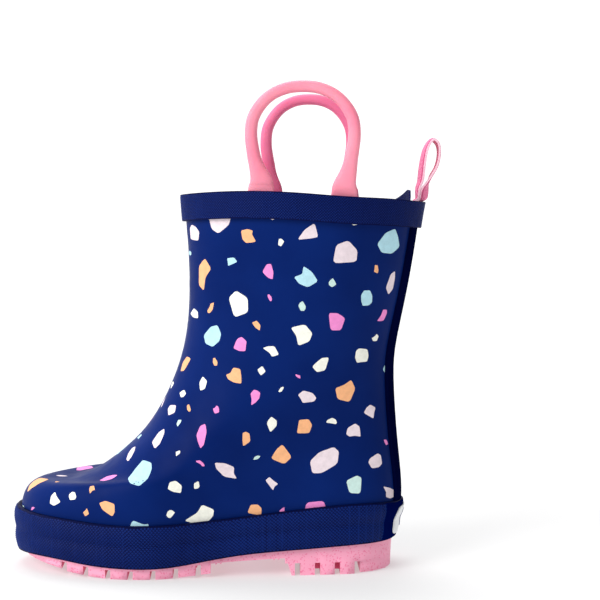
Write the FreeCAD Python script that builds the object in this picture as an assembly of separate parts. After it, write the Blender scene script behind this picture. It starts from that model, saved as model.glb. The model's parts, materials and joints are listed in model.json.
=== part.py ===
"""Child's rubber rain boot, left foot, EU size 23, as an assembly of its separate pieces.

A printed rubber upper over a cotton lining stands on a lugged rubber outsole, and a textured
rubber band (foxing) wraps the joint between them. Two rubber pull handles and a ribbon pull
loop leave the collar between the upper and the lining.

Millimetres. +Z is up, the toe points along -X, the outer side of the foot is -Y, and the
origin is on the ground under the middle of the boot.
"""

import math
import os

import FreeCAD
import Part

Vec = FreeCAD.Vector

# ---- driving dimensions -----------------------------------------------------------------
STEPS = 24  # control points round one loop of the boot's surface
TOE_CENTRE_Y = 2.0  # the toe's tip lies a little towards the inner side

SHELL_T = 1.6  # rubber of the upper
LINING_T = 1.0
GAP = 0.1  # between glued layers, so that no two solids share volume
FREE_GAP = 0.3  # between pieces that move against each other
STRIP_T = 1.2  # back strip
BAND_T = 1.7  # collar band
BAND_HEIGHT = 11.5
TAPE_HEIGHT = 20.0  # reinforcing tape under the collar, inside the upper

FOREFOOT_LUG_PITCH = 9.55
FIRST_FOREFOOT_GROOVE_X = -71.0  # where a groove crosses the middle line, y = 0
SIDE_LUG_ROWS = 6
HEEL_LUG_PITCH = 8.55
FIRST_HEEL_GROOVE_X = 29.5
HEEL_LUG_ROWS = 3
GROOVE_W = 2.3
FOREFOOT_SLANT, HEEL_SLANT = 0.105, 0.07  # how far grooves drift towards the toe per mm of +Y
PAD_STEP = 0.5  # the waffled toe and heel pads start this much higher than the lugs

HANDLE_CENTRE_X = 33.6
HANDLE_BASE_HALF = 17.4  # half the distance between a handle's two legs
HANDLE_AXIS_Y = 28.5
# For each side: height of the hinge axis, its fall towards the heel in degrees, width factor
HANDLES = {-1: (164.5, 3.1, 1.0), 1: (165.0, 0.0, 0.91)}
LOOP_AXIS_X, LOOP_AXIS_Z = 80.8, 162.5
RIBBON_W, RIBBON_T = 9.0, 1.3
LOOP_FOOT_R = 1.37  # the ribbon's two ends side by side, rounded about the hinge axis

FAR = 60.0  # half width of every cutting block
MIDDLE = Vec(-2.0, -1.0, 0.0)  # middle of the finished boot's box, which becomes the origin

# Half widths of the foot's outline divided by sin(angle), every 15 degrees from toe to heel.
FOOT_OUTER = [45.5, 45.0, 45.0, 43.0, 41.5, 38.4, 32.5, 29.4, 29.2, 31.8, 37.0, 41.5, 42.0]
FOOT_INNER = [45.5, 45.0, 44.5, 42.0, 37.6, 31.0, 21.8, 18.3, 22.0, 30.4, 39.0, 43.0, 42.0]

# The upper's outer surface: one row per loop, from under the sole to above the collar.
# (front x, front z, back x, back z, share of foot outline, foot scale, leg half width, depth)
# depth is how far inside the surface the lining begins.
LOOPS = [
    (-92.4, -14.0, 70.6, -14.0, 1.00, 1.000, 30.0, 2.8),
    (-92.4, -2.5, 70.8, -1.0, 1.00, 1.000, 30.0, 2.8),
    (-92.9, 7.5, 71.0, 9.0, 1.00, 1.005, 30.0, 2.8),
    (-93.7, 17.0, 72.0, 18.5, 1.00, 1.010, 30.0, 2.8),
    (-93.7, 25.0, 74.6, 27.0, 1.00, 1.010, 30.0, 2.8),
    (-92.0, 33.1, 74.6, 37.1, 1.00, 0.995, 30.0, 2.8),
    (-85.1, 38.1, 73.4, 48.2, 0.88, 0.970, 30.0, 2.8),
    (-72.8, 35.6, 72.4, 58.3, 0.72, 0.950, 30.5, 2.8),
    (-59.1, 41.0, 71.6, 68.3, 0.50, 0.930, 31.0, 2.6),
    (-49.4, 48.4, 71.1, 77.9, 0.30, 0.920, 31.0, 2.4),
    (-39.4, 56.8, 70.8, 86.9, 0.15, 0.920, 30.5, 2.2),
    (-31.3, 68.0, 71.5, 95.9, 0.05, 0.920, 30.0, 2.0),
    (-25.0, 80.9, 73.4, 105.4, 0.00, 1.000, 29.8, 1.9),
    (-20.4, 94.0, 75.4, 114.9, 0.00, 1.000, 30.0, 1.9),
    (-18.0, 108.1, 77.4, 124.8, 0.00, 1.000, 30.5, 2.0),
    (-17.5, 124.2, 79.3, 135.7, 0.00, 1.000, 31.3, 2.3),
    (-18.1, 140.2, 80.9, 146.2, 0.00, 1.000, 32.2, 3.4),
    (-19.3, 153.2, 82.2, 155.1, 0.00, 1.000, 33.0, 3.6),
    (-20.1, 163.2, 83.8, 163.0, 0.00, 1.000, 33.5, 3.6),
    (-20.4, 175.0, 86.0, 175.0, 0.00, 1.000, 33.8, 3.6),
]

# Side profiles, as (x, z) points of smooth curves.
GROUND = [
    (-98, 9.5), (-93, 7.2), (-86, 5.2), (-79, 3.8), (-72, 2.6), (-65, 1.6), (-57, 0.7),
    (-50, 0.2), (-44, 0.0), (-36, 0.0), (-28, 0.0), (-20, 0.4), (-12, 1.1), (0, 2.2),
]
WEB_UNDERSIDE = [
    (-98, 12.0), (-93, 9.6), (-86, 7.8), (-79, 6.8), (-70, 5.8), (-60, 4.8), (-50, 3.9),
    (-40, 3.5), (-30, 3.6), (-20, 4.3), (-12, 5.2), (-4, 6.0), (7, 6.7), (23, 7.4), (30, 7.6),
]
SOLE_TOP = [
    (-104, 13.5), (-93, 12.2), (-86, 11.0), (-79, 10.2), (-70, 9.4), (-60, 8.6), (-50, 8.0),
    (-40, 7.8), (-30, 8.0), (-20, 8.8), (-10, 9.9), (5, 11.9), (23, 13.6), (40, 14.9),
    (58, 16.0), (72, 16.6), (90, 17.0),
]
FOXING_BOTTOM = [
    (-106, 5.8), (-94, 6.5), (-86, 7.2), (-79, 7.4), (-68, 6.9), (-58, 5.9), (-48, 5.2),
    (-36, 4.8), (-25, 5.0), (-15, 6.1), (-4, 7.9), (8, 9.6), (24, 10.9), (41, 12.0),
    (58, 12.9), (72, 13.1), (90, 13.0),
]
FOXING_TOP = [
    (-106, 26.6), (-94, 25.7), (-79, 24.9), (-65, 24.2), (-53, 23.4), (-42, 22.9), (-31, 22.9),
    (-20, 23.2), (-9, 24.1), (2, 25.1), (13, 26.3), (30, 28.2), (47, 29.8), (64, 30.2),
    (75, 29.4), (90, 28.4),
]
# (x, height of the collar's edge on the outer side, height on the inner side)
TOPLINE = [
    (-60, 161.0, 161.0), (-21, 162.2, 162.4), (7, 163.0, 163.3), (33, 162.1, 163.0),
    (53, 160.6, 162.2), (75, 159.4, 160.9), (86, 158.1, 160.2), (110, 154.0, 155.0),
]
COLLAR_HALF = 33.0  # half the collar's width, where those heights are meant


# ---- small helpers ----------------------------------------------------------------------
def between(a, b, share):
    return a + (b - a) * share


def height_at(profile, x):
    """Height of a side profile at x, by straight runs between its points."""
    for (x0, z0), (x1, z1) in zip(profile, profile[1:]):
        if x <= x1:
            return between(z0, z1, max(0.0, (x - x0) / (x1 - x0)))
    return profile[-1][1]


def spline(points):
    curve = Part.BSplineCurve()
    curve.interpolate(points)
    return curve.toShape()


def block_between(low, high, x0=-110.0, x1=110.0):
    """Everything between two side profiles, as a block along Y. A number is a flat profile."""

    def edge_and_ends(profile):
        if isinstance(profile, (int, float)):
            ends = Vec(x0, -FAR, profile), Vec(x1, -FAR, profile)
            return Part.makeLine(*ends), ends
        points = [Vec(x, -FAR, z) for x, z in profile]
        return spline(points), (points[0], points[-1])

    low_edge, (low_a, low_b) = edge_and_ends(low)
    high_edge, (high_a, high_b) = edge_and_ends(high)
    edges = [low_edge, Part.makeLine(low_b, high_b), high_edge, Part.makeLine(high_a, low_a)]
    return Part.Face(Part.Wire(Part.__sortEdges__(edges))).extrude(Vec(0, 2 * FAR, 0))


def raised(profile, rise):
    return [(x, z + rise) for x, z in profile]


def box(x0, x1, y0, y1, z0, z1):
    return Part.makeBox(x1 - x0, y1 - y0, z1 - z0, Vec(x0, y0, z0))


def one_solid(shape):
    """The largest solid of a boolean's result, so that no chip is left over."""
    return max(shape.Solids, key=lambda s: s.Volume)


# ---- surfaces made from nets of control points -------------------------------------------
def net_face(net):
    """Smooth face through a net: a list of closed loops, each with the same number of points."""
    around, along = len(net[0]), len(net)
    poles = [[net[j][i] for j in range(along)] for i in range(around)]
    surface = Part.BSplineSurface()
    surface.buildFromPolesMultsKnots(
        poles,
        [1] * (around + 1),
        [4] + [1] * (along - 4) + [4],
        list(range(around + 1)),
        list(range(along - 2)),
        True,
        False,
        3,
        3,
    )
    return surface.toShape()


def end_wires(face):
    """The closed edges at the two ends of a net's face, lowest loop first."""
    closed = [e for e in face.Edges if e.isClosed()]
    closed = [e for e in closed if not any(e.isSame(o) for o in closed[: closed.index(e)])]
    closed.sort(key=lambda e: e.BoundBox.ZMin + e.BoundBox.ZMax)
    return [Part.Wire([closed[0]]), Part.Wire([closed[-1]])]


def solid_of(faces):
    shell = Part.Shell(faces)
    shell.sewShape()
    solid = Part.Solid(shell)
    if solid.Volume < 0:
        solid.reverse()
    return solid


def filled(net):
    """Closed solid inside a net whose first and last loops are flat."""
    side = net_face(net)
    return solid_of([side] + [Part.Face(w) for w in end_wires(side)])


def layer(outer, inner):
    """Open-ended tube between two nets."""
    return filled(outer).cut(filled(inner))


def boot_loop(front_x, front_z, back_x, back_z, foot_share, foot_scale, leg_half, _depth):
    """One loop of the upper's outer surface, from the toe side round by the outer side."""
    points = []
    for i in range(STEPS):
        angle = 2 * math.pi * i / STEPS
        along = (1 - math.cos(angle)) / 2
        outer_side = i <= STEPS // 2
        widths = FOOT_OUTER if outer_side else FOOT_INNER
        foot_half = widths[i if outer_side else STEPS - i] * foot_scale
        half = between(leg_half, foot_half, foot_share)
        middle_y = TOE_CENTRE_Y * foot_share * (1 - along)
        points.append(
            Vec(
                between(front_x, back_x, along),
                middle_y - half * math.sin(angle),
                between(front_z, back_z, along),
            )
        )
    return points


def drawn_through(loop):
    """Control points whose smooth closed curve passes through the points of the loop."""
    control = list(loop)
    for _ in range(6):
        drawn = [(control[i - 1] + control[i] * 4 + control[(i + 1) % STEPS]) / 6 for i in range(STEPS)]
        control = [c + (wanted - got) for c, wanted, got in zip(control, loop, drawn)]
    return control


OUTER_NET = [drawn_through(boot_loop(*row)) for row in LOOPS]
DEPTHS = [row[7] for row in LOOPS]


def net_normal(net, j, i):
    """Outward direction of a net at loop j and point i."""
    around = net[j][(i + 1) % STEPS] - net[j][i - 1]
    along = net[min(j + 1, len(net) - 1)][i] - net[max(j - 1, 0)][i]
    normal = around.cross(along)
    normal.normalize()
    return normal


def offset_net(net, distance):
    """The net moved outward by distance(j, i). Its end loops stay in their own planes."""
    moved = []
    for j, loop in enumerate(net):
        at_end = j in (0, len(net) - 1)
        points = []
        for i, point in enumerate(loop):
            normal = net_normal(net, j, i)
            if at_end:
                normal = Vec(normal.x, normal.y, 0)
                normal.normalize()
            points.append(point + normal * distance(j, i))
        moved.append(points)
    return moved


def skin(outward):
    """Net at a constant distance outside (or, negative, inside) the upper's surface."""
    return offset_net(OUTER_NET, lambda j, i: outward)


def lining_side(extra):
    """Net on the lining's side of the wall, extra further inside than the wall's depth."""
    return offset_net(OUTER_NET, lambda j, i: -DEPTHS[j] - extra)


# ---- blocks that many pieces are cut with -------------------------------------------------
CORE = filled(OUTER_NET)
BELOW_SOLE_TOP = block_between(-30.0, SOLE_TOP)


def topline_block(drop, top=220.0):
    """Everything above the collar's wavy top edge, lowered by drop."""

    def outline(y):
        share = (y + COLLAR_HALF) / (2 * COLLAR_HALF)
        points = [Vec(x, y, between(outer, inner, share) - drop) for x, outer, inner in TOPLINE]
        first, last = points[0], points[-1]
        corners = [last, Vec(last.x, y, top), Vec(first.x, y, top), first]
        return Part.Wire([spline(points)] + [Part.makeLine(a, b) for a, b in zip(corners, corners[1:])])

    return Part.makeLoft([outline(-FAR), outline(FAR)], True, True)


ABOVE_TOPLINE = topline_block(0.0)


def trimmed(tube):
    """A full-height layer, cut off at the sole's top and at the collar's top edge."""
    return one_solid(tube.cut(BELOW_SOLE_TOP).cut(ABOVE_TOPLINE))


# ---- upper, lining and what lies between them ---------------------------------------------
TOE_PUFF_ZONE = box(-110, -64, -FAR, FAR, 15, 66)
HEEL_COUNTER_ZONE = box(44, 110, -FAR, FAR, 17, 58)
TAPE_ZONE = topline_block(TAPE_HEIGHT)

POCKET_LAYER = layer(skin(-SHELL_T), lining_side(0.6))
INTERLAYER = trimmed(layer(skin(-SHELL_T - 0.05), lining_side(-0.05)))


def make_upper_shell():
    wall = layer(OUTER_NET, lining_side(0.0))
    pockets = [POCKET_LAYER.common(z) for z in (TOE_PUFF_ZONE, HEEL_COUNTER_ZONE, TAPE_ZONE)]
    return one_solid(trimmed(wall).cut(pockets[0]).cut(pockets[1]).cut(pockets[2]))


def make_lining_sock():
    return trimmed(layer(lining_side(GAP), lining_side(GAP + LINING_T)))


def make_toe_puff():
    return one_solid(INTERLAYER.common(box(-110, -64.2, -FAR, FAR, 15.2, 65.8)))


def make_heel_counter():
    return one_solid(INTERLAYER.common(box(44.2, 110, -FAR, FAR, 17.2, 57.8)))


TAB_W, TAB_H = 10.0, 15.0
LEG_FOOT_R = 1.7  # the legs' lower ends are rounded about the hinge axis
LEG_XS = (HANDLE_CENTRE_X - HANDLE_BASE_HALF, HANDLE_CENTRE_X + HANDLE_BASE_HALF)


def tab_zone(x, side, extra):
    """Block round one buried handle end; side is -1 for the outer handle, 1 for the inner."""
    half = TAB_W / 2 + extra
    y0, y1 = sorted((side * 15, side * FAR))
    return box(x - half, x + half, y0, y1, 161.0 - TAB_H - extra, 170.0)


def tail_zone(extra):
    half = RIBBON_W / 2 + extra
    return box(60, 110, -half, half, 144.0 - extra, 170.0)


def make_topline_tape():
    tape = INTERLAYER.common(topline_block(TAPE_HEIGHT - 0.2))
    for side in (-1, 1):
        for x in LEG_XS:
            tape = tape.cut(tab_zone(x, side, 0.1))
    return Part.makeCompound(tape.cut(tail_zone(0.1)).Solids)


def make_handle_tabs(side):
    """The flat ends of one handle, held between the upper and the lining."""
    sheet = layer(skin(-SHELL_T - 0.1), lining_side(-0.1))
    axis_z, fall, _ = HANDLES[side]
    tabs = []
    for x in LEG_XS:
        top = axis_z - (x - HANDLE_CENTRE_X) * math.tan(math.radians(fall)) - LEG_FOOT_R - FREE_GAP
        below = box(-110, 110, -FAR, FAR, 0, top)
        tabs.append(one_solid(sheet.common(tab_zone(x, side, 0.0)).common(below)))
    return Part.makeCompound(tabs)


def make_pull_loop_tail():
    sheet = layer(skin(-SHELL_T - 0.1), lining_side(-0.1))
    top = LOOP_AXIS_Z - LOOP_FOOT_R - FREE_GAP
    return one_solid(sheet.common(tail_zone(0.0)).common(box(-110, 110, -FAR, FAR, 0, top)))


# ---- pieces on the outside of the upper ----------------------------------------------------
STRIP_HALF = 10.0
HEEL_THINNING = 0.35  # share by which the foxing is thinner round the heel


def near_back(i):
    """1 at the back of a loop, fading to 0 an eighth of the way round to each side."""
    return max(0.0, 1.0 - abs(i - STEPS // 2) * 8 / STEPS) ** 0.5


def foxing_net():
    """Outer surface of the foxing: two soft bulges with a crease between them."""
    rises = [0.0, 0.1, 0.25, 0.4, 0.5, 0.6, 0.75, 0.9, 1.0]
    thick = [1.9, 2.5, 2.9, 2.6, 1.9, 2.5, 2.9, 2.6, 2.0]

    def point_at(i, z, out):
        column = [loop[i] for loop in OUTER_NET[:7]]
        for j, (low, high) in enumerate(zip(column, column[1:])):
            if z <= high.z or j == len(column) - 2:
                spot = low + (high - low) * ((z - low.z) / (high.z - low.z))
                normal = net_normal(OUTER_NET, j, i)
                flat = Vec(normal.x, normal.y, 0)
                flat.normalize()
                return Vec(spot.x, spot.y, z) + flat * out

    net = [[point_at(i, -12.0, 1.5) for i in range(STEPS)]]
    for rise, out in zip(rises, thick):
        loop = []
        for i in range(STEPS):
            x = OUTER_NET[2][i].x
            z = between(height_at(FOXING_BOTTOM, x), height_at(FOXING_TOP, x), rise)
            loop.append(point_at(i, z, out * (1.0 - HEEL_THINNING * near_back(i))))
        net.append(loop)
    net.append([point_at(i, 40.0, 1.8) for i in range(STEPS)])
    return net


FOXING_NET = foxing_net()
FOXING_BLOCK = filled(FOXING_NET)


def make_foxing_band():
    band = FOXING_BLOCK.common(block_between(FOXING_BOTTOM, FOXING_TOP))
    return one_solid(band.cut(filled(skin(0.04))))


def make_back_strip():
    strip = layer(skin(GAP + STRIP_T), skin(GAP / 2))
    strip = strip.common(box(40, 110, -STRIP_HALF, STRIP_HALF, 16, 172))
    strip = strip.cut(topline_block(0.6)).cut(FOXING_BLOCK.common(block_between(-20.0, FOXING_TOP)))
    return one_solid(strip)


def make_collar_band(strip):
    outer = offset_net(OUTER_NET, lambda j, i: BAND_T + GAP / 2 + STRIP_T * near_back(i))
    band = layer(outer, skin(GAP / 2))
    band = band.common(topline_block(BAND_HEIGHT)).cut(topline_block(0.0))
    return one_solid(band.cut(strip))


BADGE_HALF_W, BADGE_LOW_Z, BADGE_HIGH_Z, BADGE_T = 11.0, 15.0, 27.0, 1.0


def make_heel_badge():
    outer = offset_net(FOXING_NET, lambda j, i: BADGE_T)
    inner = offset_net(FOXING_NET, lambda j, i: GAP / 2)
    height = BADGE_HIGH_Z - BADGE_LOW_Z
    plate = Part.makeBox(40, 2 * BADGE_HALF_W, height, Vec(55, -BADGE_HALF_W, BADGE_LOW_Z))
    long_edges = [e for e in plate.Edges if abs(e.BoundBox.XLength - 40) < 0.01]
    plate = plate.makeFillet(3.0, long_edges)
    return one_solid(layer(outer, inner).common(plate))


# ---- outsole -------------------------------------------------------------------------------
LUG_Z0, LUG_Z1 = -20.0, 30.0
LUG_ROOT = 1.2  # how far a lug runs up into the web


def prism(face):
    return face.extrude(Vec(0, 0, LUG_Z1 - LUG_Z0))


def slanted(x, y, slant):
    """The tread's rows aren't square to the boot: they drift towards the toe with +Y."""
    return x - slant * y, y


def rounded_prism(corners, radius, slant=0.0):
    """Upright prism on a convex outline with round corners, through the whole sole."""
    corners = [slanted(x, y, slant) for x, y in corners]
    edges = []
    count = len(corners)
    ends = []
    for k in range(count):
        here = Vec(*corners[k], LUG_Z0)
        back = Vec(*corners[k - 1], LUG_Z0) - here
        on = Vec(*corners[(k + 1) % count], LUG_Z0) - here
        half_angle = back.getAngle(on) / 2
        back.normalize()
        on.normalize()
        reach = radius / math.tan(half_angle)
        bisector = back + on
        bisector.normalize()
        centre = here + bisector * (radius / math.sin(half_angle))
        middle = centre - bisector * radius
        start, end = here + back * reach, here + on * reach
        ends.append((start, middle, end))
    for k, (start, middle, end) in enumerate(ends):
        edges.append(Part.Arc(start, middle, end).toShape())
        edges.append(Part.makeLine(end, ends[(k + 1) % count][0]))
    return prism(Part.Face(Part.Wire(edges)))


def plate(x0, x1, y0, y1, slant):
    return rounded_prism([(x0, y0), (x1, y0), (x1, y1), (x0, y1)], 1.0, slant)


def groove_xs(first, pitch, rows):
    return [first + pitch * k for k in range(rows + 1)]


FOREFOOT_GROOVES = groove_xs(FIRST_FOREFOOT_GROOVE_X, FOREFOOT_LUG_PITCH, SIDE_LUG_ROWS)
HEEL_GROOVES = groove_xs(FIRST_HEEL_GROOVE_X, HEEL_LUG_PITCH, HEEL_LUG_ROWS)
ARCH_FRONT_X = FOREFOOT_GROOVES[-1] + 5.2


def toe_pad():
    return plate(-120, FOREFOOT_GROOVES[0] - GROOVE_W / 2, -FAR, FAR, FOREFOOT_SLANT)


def heel_pad():
    return plate(HEEL_GROOVES[-1] + GROOVE_W / 2, 120, -FAR, FAR, HEEL_SLANT)


def stud(x, y):
    """A ring with a well in its middle."""
    at = Vec(*slanted(x, y, FOREFOOT_SLANT), LUG_Z0)
    height = LUG_Z1 - LUG_Z0
    return Part.makeCylinder(4.0, height, at).cut(Part.makeCylinder(2.3, height, at))


def forefoot_lugs():
    lugs = []
    for k, (front, back) in enumerate(zip(FOREFOOT_GROOVES, FOREFOOT_GROOVES[1:])):
        x0, x1 = front + GROOVE_W / 2, back - GROOVE_W / 2
        outer_end = -17.5 - 0.9 * k
        inner_end = 19.0 - 1.1 * k
        lugs.append(plate(x0, x1, -FAR, outer_end, FOREFOOT_SLANT))
        lugs.append(plate(x0, x1, inner_end, FAR, FOREFOOT_SLANT))
        # One ring stud and one wedge share the middle of each row, and swap sides row by row.
        side = 1 if k % 2 == 0 else -1
        middle_x = (x0 + x1) / 2
        middle_y = (outer_end + inner_end) / 2 - 0.6
        lugs.append(stud(middle_x, middle_y + side * 11.2))
        wide, narrow = middle_y - side * 15.8, middle_y + side * 3.4
        wedge = [(x0, wide), (x1, wide), (middle_x + 1.2, narrow), (middle_x - 1.5, narrow)]
        lugs.append(rounded_prism(wedge if side > 0 else wedge[::-1], 0.9, FOREFOOT_SLANT))
    lugs.append(plate(FOREFOOT_GROOVES[-1] + GROOVE_W / 2, ARCH_FRONT_X, -FAR, FAR, FOREFOOT_SLANT))
    return lugs


def numeral(strokes, left_y):
    """A size numeral made of straight strokes (x0, x1, low, high).
    It reads from below with the toe up, so its own right is -Y and its top is towards -X."""
    foot_x = 53.6
    bars = [
        box(foot_x - high, foot_x - low, left_y - x1, left_y - x0, LUG_Z0, LUG_Z1)
        for x0, x1, low, high in strokes
    ]
    return bars[0].multiFuse(bars[1:]).removeSplitter()


def heel_lugs():
    lugs = [plate(HEEL_FRONT_X, HEEL_GROOVES[0] - GROOVE_W / 2, -FAR, FAR, HEEL_SLANT)]
    for front, back in zip(HEEL_GROOVES, HEEL_GROOVES[1:]):
        x0, x1 = front + GROOVE_W / 2, back - GROOVE_W / 2
        lugs.append(plate(x0, x1, -FAR, -13.8, HEEL_SLANT))
        lugs.append(plate(x0, x1, 13.0, FAR, HEEL_SLANT))
    bar, wide, tall = 3.5, 10.2, 21.6
    middle = (tall - bar) / 2
    two = [
        (0, wide, tall - bar, tall),
        (wide - bar, wide, middle, tall),
        (0, wide, middle, middle + bar),
        (0, bar, 0, middle + bar),
        (0, wide, 0, bar),
    ]
    three = [
        (0, wide, tall - bar, tall),
        (wide - bar, wide, 0, tall),
        (1.6, wide, middle, middle + bar),
        (0, wide, 0, bar),
    ]
    return lugs + [numeral(two, 11.0), numeral(three, -1.6)]


HEEL_FRONT_X = 27.0  # of the heel's walking surface; its front wall leans forward above it
HEEL_WALL_X = 24.2
HEEL_GROOVE_Z = 5.2
FILLER_X0, FILLER_X1, FILLER_HALF, FILLER_Z = 31.0, 60.0, 13.0, 8.8


def heel_front_wedge():
    """The heel's front wall, from its walking surface up to the arch."""
    outline = [(HEEL_FRONT_X, 0.0), (HEEL_FRONT_X + 1.0, 0.0), (HEEL_FRONT_X + 1.0, 9.0), (HEEL_WALL_X, 9.0)]
    points = [Vec(*slanted(x, -FAR, HEEL_SLANT), z) for x, z in outline]
    face = Part.Face(Part.makePolygon(points + points[:1]))
    return face.extrude(Vec(-2 * FAR * HEEL_SLANT, 2 * FAR, 0))


def arch_ridges():
    """Two thin ridges across each end of the smooth arch panel."""
    xs = [ARCH_FRONT_X + 3.0, ARCH_FRONT_X + 5.0, HEEL_WALL_X - 5.2, HEEL_WALL_X - 3.2]
    return [plate(x, x + 0.8, -FAR, FAR, HEEL_SLANT) for x in xs]


def make_outsole():
    below = CORE.common(BELOW_SOLE_TOP)
    web = below.common(block_between(WEB_UNDERSIDE, 40.0, -98.0, 30.0))
    behind_wall = plate(HEEL_WALL_X, 120, -FAR, FAR, HEEL_SLANT)
    heel_web = below.common(behind_wall).common(box(0, 100, -FAR, FAR, HEEL_GROOVE_Z, 40))
    fore_slab = below.common(block_between(GROUND, raised(WEB_UNDERSIDE, LUG_ROOT)))
    heel_slab = below.common(box(0, 100, -FAR, FAR, 0, HEEL_GROOVE_Z + LUG_ROOT))
    ridge_slab = below.common(block_between(raised(WEB_UNDERSIDE, -0.5), raised(WEB_UNDERSIDE, LUG_ROOT)))
    lifted = Vec(0, 0, PAD_STEP)
    pieces = [heel_web, below.common(heel_front_wedge())]
    pieces.append(below.common(fore_slab.translated(lifted)).common(toe_pad()))
    pieces.append(below.common(heel_slab.translated(lifted)).common(heel_pad()))
    pieces += [fore_slab.common(lug) for lug in forefoot_lugs()]
    pieces += [heel_slab.common(lug) for lug in heel_lugs()]
    pieces += [ridge_slab.common(ridge) for ridge in arch_ridges()]
    sole = web.multiFuse([s for p in pieces for s in p.Solids])
    filler_well = box(FILLER_X0, FILLER_X1, -FILLER_HALF, FILLER_HALF, FILLER_Z, 40)
    recess = box(ARCH_FRONT_X + 8.5, HEEL_WALL_X - 8.5, -15.0, 9.0, 0, 20)
    recess = recess.common(block_between(0.0, raised(WEB_UNDERSIDE, 0.7)))
    return one_solid(sole.cut(filler_well).cut(recess).removeSplitter())


def make_heel_filler():
    well = box(FILLER_X0 + GAP, FILLER_X1 - GAP, -FILLER_HALF + GAP, FILLER_HALF - GAP, FILLER_Z + GAP, 40)
    return one_solid(well.common(BELOW_SOLE_TOP))


# ---- inside the boot -----------------------------------------------------------------------
BOARD_T, FOAM_T, COVER_T = 1.5, 2.8, 0.8


def floor_slab(low, high, inset):
    """A sheet over the sole's top, low to high above it, inset from the lining."""
    room = filled(lining_side(GAP + LINING_T + inset))
    return one_solid(room.common(block_between(raised(SOLE_TOP, low), raised(SOLE_TOP, high))))


def make_insole_board():
    return floor_slab(GAP, GAP + BOARD_T, GAP)


FOAM_LOW = GAP + BOARD_T + FREE_GAP


def make_footbed_foam():
    return floor_slab(FOAM_LOW, FOAM_LOW + FOAM_T, 1.2)


def make_footbed_cover():
    return floor_slab(FOAM_LOW + FOAM_T + 0.02, FOAM_LOW + FOAM_T + COVER_T, 1.2)


# ---- handles and pull loop -----------------------------------------------------------------
def tube_net(path, widths, thicks, across, sides=12):
    """Loops of an oval tube along a flat path. across is the direction of its thickness."""
    grow = 3 / (2 + math.cos(2 * math.pi / sides))  # a cubic net draws its loops in a little
    net = []
    for k, point in enumerate(path):
        along = path[min(k + 1, len(path) - 1)] - path[max(k - 1, 0)]
        along.normalize()
        sideways = along.cross(across)
        sideways.normalize()
        net.append(
            [
                point
                + sideways * (widths[k] * grow * math.cos(2 * math.pi * s / sides))
                + across * (thicks[k] * grow * math.sin(2 * math.pi * s / sides))
                for s in range(sides)
            ]
        )
    return net


def tube(path, widths, thicks, across):
    face = net_face(tube_net(path, widths, thicks, across))
    closed = [e for e in face.Edges if e.isClosed()]
    ends = []
    for edge in closed:
        if not any(edge.isSame(other) for other in ends):
            ends.append(edge)
    return solid_of([face] + [Part.Face(Part.Wire([e])) for e in ends])


# One leg and half the arch: (from centre, above the hinge axis, half width, half thickness)
HANDLE_HALF = [
    (17.4, -1.62, 3.6, 0.45), (17.4, -1.15, 4.8, 1.2), (17.4, 0.0, 5.1, 1.65), (17.8, 2.4, 4.7, 1.75),
    (18.7, 6.0, 3.8, 2.0), (19.9, 10.5, 3.05, 2.4), (20.9, 15.8, 2.75, 2.65), (21.6, 21.9, 2.65, 2.65),
    (20.9, 28.4, 2.6, 2.6), (17.8, 34.1, 2.5, 2.5), (13.0, 38.6, 2.45, 2.5), (6.7, 41.3, 2.45, 2.5),
]
ARCH_TOP = (0.0, 42.0, 2.45, 2.5)
UPRIGHT_FROM = 12.0  # above the hinge axis by this much, the legs stand upright again


def make_handle_loop(side):
    axis_z, fall, spread = HANDLES[side]
    rows = HANDLE_HALF + [ARCH_TOP] + [(-x, z, w, t) for x, z, w, t in HANDLE_HALF[::-1]]
    # The legs' feet follow the fall of the collar. The arch stands upright, and only the arch
    # is narrower on a narrower handle: both handles stand on legs the same way apart.
    path = []
    for x, z, _, _ in rows:
        share = min(1.0, max(0.0, z / UPRIGHT_FROM))
        along = -x * between(1.0, spread, share)
        turn = math.radians(fall) * (1.0 - share)
        path.append(
            Vec(
                HANDLE_CENTRE_X + along * math.cos(turn) + z * math.sin(turn),
                side * HANDLE_AXIS_Y,
                axis_z + z * math.cos(turn) - along * math.sin(turn),
            )
        )
    return tube(path, [r[2] for r in rows], [r[3] for r in rows], Vec(0, 1, 0))


# The ribbon's middle line, from the hinge up the front leg, over the top and down the back leg.
RIBBON_LINE = [
    (-0.72, 0.0), (-0.2, 2.0), (1.7, 6.0), (3.1, 12.0), (4.4, 17.0), (5.6, 20.8), (7.8, 23.6),
    (10.1, 21.8), (10.7, 17.8), (9.6, 12.6), (7.0, 7.4), (3.0, 3.0), (0.72, 0.0),
]


def make_pull_loop():
    """A ribbon folded to a loop, seen from the side, and its two ends closed by a round foot."""
    middle = [Vec(LOOP_AXIS_X + x, 0, LOOP_AXIS_Z + z) for x, z in RIBBON_LINE]
    outer, inner = [], []
    for k, point in enumerate(middle):
        along = middle[min(k + 1, len(middle) - 1)] - middle[max(k - 1, 0)]
        along.normalize()
        if k in (0, len(middle) - 1):
            along = Vec(0, 0, 1 if k == 0 else -1)
        sideways = Vec(-along.z, 0, along.x)
        outer.append(point + sideways * (RIBBON_T / 2))
        inner.append(point - sideways * (RIBBON_T / 2))
    low = Vec(LOOP_AXIS_X, 0, LOOP_AXIS_Z - LOOP_FOOT_R)
    foot = Part.Arc(outer[-1], low, outer[0]).toShape()
    outline = Part.Wire([spline(outer), foot])
    face = Part.Face(outline)
    # The opening starts where the two legs part.
    window_points = inner[2:-2]
    window = Part.Wire([spline(window_points), Part.makeLine(window_points[-1], window_points[0])])
    ribbon = face.extrude(Vec(0, RIBBON_W, 0))
    ribbon = ribbon.cut(Part.Face(window).extrude(Vec(0, RIBBON_W, 0)))
    ribbon.translate(Vec(0, -RIBBON_W / 2, 0))
    return one_solid(ribbon)


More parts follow.
